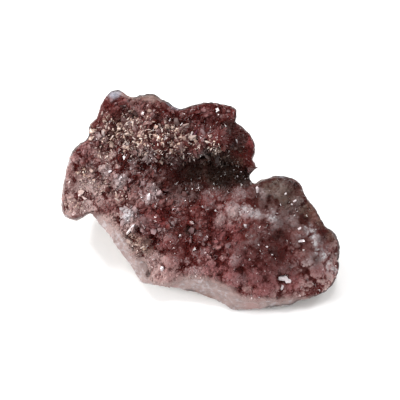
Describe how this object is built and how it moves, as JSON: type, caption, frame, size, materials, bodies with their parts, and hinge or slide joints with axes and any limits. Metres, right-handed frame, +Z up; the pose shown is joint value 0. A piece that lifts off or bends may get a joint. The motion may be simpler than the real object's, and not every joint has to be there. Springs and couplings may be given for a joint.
{
  "type": "geode fragment",
  "caption": "Broken wedge of a geode lined with a crust of small garnet-red quartz crystals, resting on a flattened base, for display.",
  "frame": {"origin": "on the floor, under the middle of the fragment's bounding box", "axes": "+Z up from the floor that it rests on; -Y to the front, where the crystal face looks; +X to the right of the face, along its longest extent"},
  "size_m": [0.0888, 0.0642, 0.0397],
  "materials": {
    "quartz_rock": "rough",
    "crystal_crust": "glittering"
  },
  "bodies": {
    "root": {"quartz_rock": "quartz_rock", "crystal_crust": "crystal_crust"}
  },
  "joints": []
}
